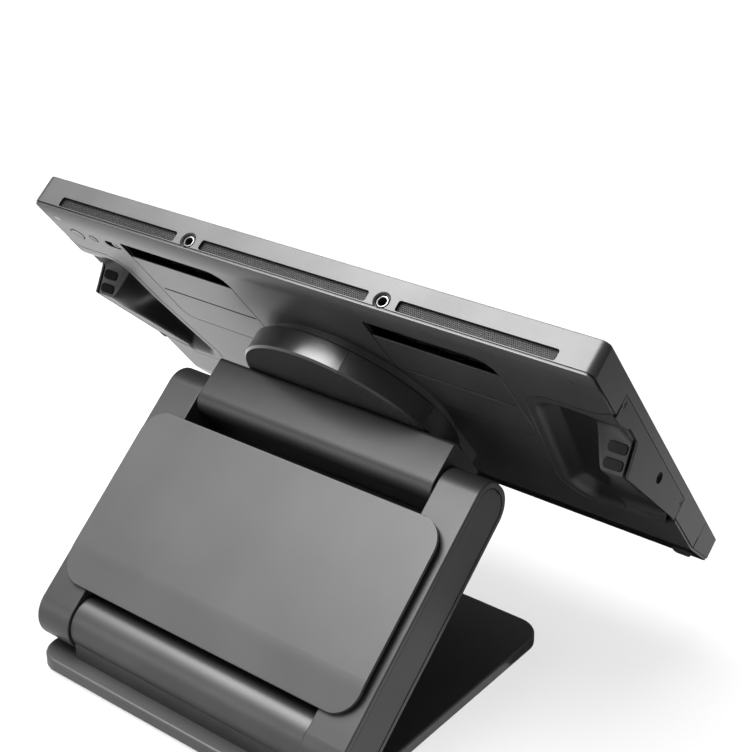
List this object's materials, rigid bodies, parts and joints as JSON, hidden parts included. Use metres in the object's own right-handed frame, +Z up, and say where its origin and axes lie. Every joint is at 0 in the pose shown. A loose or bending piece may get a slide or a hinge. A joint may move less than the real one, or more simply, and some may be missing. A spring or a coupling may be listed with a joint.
{
  "type": "pen drawing tablet",
  "caption": "Pen display with finger grips and port bays in its back, on a round swivel hub, a tilt bar and a wide folding arm over a flat base.",
  "frame": {"origin": "centre of the whole object's footprint, on the desk", "axes": "+Z up, +Y towards the back of the desk, X across the display; the user sits at -Y"},
  "size_m": [0.482, 0.3228, 0.3196],
  "materials": {
    "frame_metal": "satin anodised, dark grey",
    "back_shell": "fine matte coat, charcoal",
    "grip_plastic": "soft matte, charcoal",
    "key_gloss": "polished black",
    "cover_glass": "etched, dark behind",
    "lcd": "dark panel",
    "board": "solder mask green",
    "heat_aluminium": "plain",
    "connector_steel": "nickel plated",
    "fan_plastic": "black moulding",
    "black_screws": "black oxide",
    "grille_metal": "perforated, dark paint",
    "rubber": "matte black",
    "mount_metal": "black anodised casting",
    "bright_steel": "turned",
    "hub_metal": "satin black with bright cut chamfers",
    "stand_metal": "fine textured dark coat",
    "stand_plastic": "matte charcoal",
    "panel_paint": "fine textured dark paint",
    "base_paint": "fine textured dark paint",
    "base_steel": "phosphated plate"
  },
  "bodies": {
    "base": {"base_cover": "base_paint", "base_weight": "base_steel", "base_feet": "rubber", "base_screws": "black_screws", "hinge_barrel": "stand_metal", "lift_springs": "bright_steel"},
    "arm": {"arm_core": "stand_metal", "arm_front_cover": "stand_plastic", "arm_rear_panel": "panel_paint", "tilt_shaft": "bright_steel", "swing_shaft": "bright_steel", "shaft_nuts": "bright_steel", "arm_end_left": "stand_metal", "arm_end_right": "stand_metal", "arm_end_cover_left": "stand_plastic", "arm_end_cover_right": "stand_plastic"},
    "tilt_head": {"hub_disc": "hub_metal", "hub_side_cover": "hub_metal", "hub_pivot_plate": "bright_steel", "head_housing": "stand_metal", "friction_washers": "bright_steel"},
    "display": {"side_frame": "frame_metal", "lower_frame_rail": "frame_metal", "back_cover": "back_shell", "cover_glass": "cover_glass", "lcd_panel": "lcd", "pen_sensor_board": "board", "heat_spreader": "heat_aluminium", "main_board": "board", "port_connectors": "connector_steel", "fan_housings": "fan_plastic", "heat_sink": "heat_aluminium", "accessory_sockets": "connector_steel", "side_plate_screws": "black_screws", "sensor_windows": "key_gloss", "display_feet": "rubber", "mount_plate": "mount_metal", "mount_screws": "black_screws", "hub_retaining_ring": "bright_steel", "vent_grille_left": "grille_metal", "vent_grille_centre": "grille_metal", "vent_grille_right": "grille_metal", "side_plate_left": "frame_metal", "side_plate_right": "frame_metal", "grip_tray_left": "back_shell", "grip_tray_right": "back_shell", "grip_pod_left": "grip_plastic", "grip_pod_right": "grip_plastic", "port_cover_left": "back_shell", "port_cover_right": "back_shell"},
    "fan_left": {"fan_rotor_left": "fan_plastic"},
    "key_left_upper": {"express_key_left_upper": "key_gloss"},
    "key_left_lower": {"express_key_left_lower": "key_gloss"},
    "fan_right": {"fan_rotor_right": "fan_plastic"},
    "key_right_upper": {"express_key_right_upper": "key_gloss"},
    "key_right_lower": {"express_key_right_lower": "key_gloss"},
    "power_key": {"power_button": "back_shell"},
    "settings_key": {"settings_button": "back_shell"},
    "touch_slider": {"touch_switch": "back_shell"},
    "latch": {"release_latch": "mount_metal"}
  },
  "joints": [
    {"name": "arm_swing", "type": "hinge", "parent": "base", "child": "arm", "pos_m": [0, 0.13159, 0.035], "axis": [-1, 0, 0], "range_deg": [-8, 34]},
    {"name": "display_tilt", "type": "hinge", "parent": "arm", "child": "tilt_head", "pos_m": [0, -0.01418, 0.16149], "axis": [1, 0, 0], "range_deg": [-40, 20]},
    {"name": "hub_turn", "type": "hinge", "parent": "tilt_head", "child": "display", "pos_m": [0, -0.01418, 0.16149], "axis": [0, -0.7782, 0.628], "range_deg": [-20, 20]},
    {"name": "fan_spin_left", "type": "hinge", "parent": "display", "child": "fan_left", "pos_m": [-0.027, -0.00014, 0.26966], "axis": [0, -0.7782, 0.628], "continuous": true},
    {"name": "key_left_upper_press", "type": "slide", "parent": "display", "child": "key_left_upper", "axis": [0, -0.8999, -0.4361], "range_m": [0, 0.0008], "stiffness_N_per_m": 900, "springref_m": -0.0008},
    {"name": "key_left_lower_press", "type": "slide", "parent": "display", "child": "key_left_lower", "axis": [0, -0.8999, -0.4361], "range_m": [0, 0.0008], "stiffness_N_per_m": 900, "springref_m": -0.0008},
    {"name": "fan_spin_right", "type": "hinge", "parent": "display", "child": "fan_right", "pos_m": [0.027, -0.00014, 0.26966], "axis": [0, -0.7782, 0.628], "continuous": true},
    {"name": "key_right_upper_press", "type": "slide", "parent": "display", "child": "key_right_upper", "axis": [0, -0.8999, -0.4361], "range_m": [0, 0.0008], "stiffness_N_per_m": 900, "springref_m": -0.0008},
    {"name": "key_right_lower_press", "type": "slide", "parent": "display", "child": "key_right_lower", "axis": [0, -0.8999, -0.4361], "range_m": [0, 0.0008], "stiffness_N_per_m": 900, "springref_m": -0.0008},
    {"name": "power_key_press", "type": "slide", "parent": "display", "child": "power_key", "axis": [0, -0.7782, 0.628], "range_m": [0, 0.0006], "stiffness_N_per_m": 900, "springref_m": -0.0008},
    {"name": "settings_key_press", "type": "slide", "parent": "display", "child": "settings_key", "axis": [0, -0.7782, 0.628], "range_m": [0, 0.0006], "stiffness_N_per_m": 900, "springref_m": -0.0008},
    {"name": "touch_slide", "type": "slide", "parent": "display", "child": "touch_slider", "axis": [1, 0, 0], "range_m": [0, 0.0064]},
    {"name": "latch_pull", "type": "slide", "parent": "display", "child": "latch", "axis": [0, -0.628, -0.7782], "range_m": [0, 0.004], "stiffness_N_per_m": 800, "springref_m": -0.004}
  ]
}
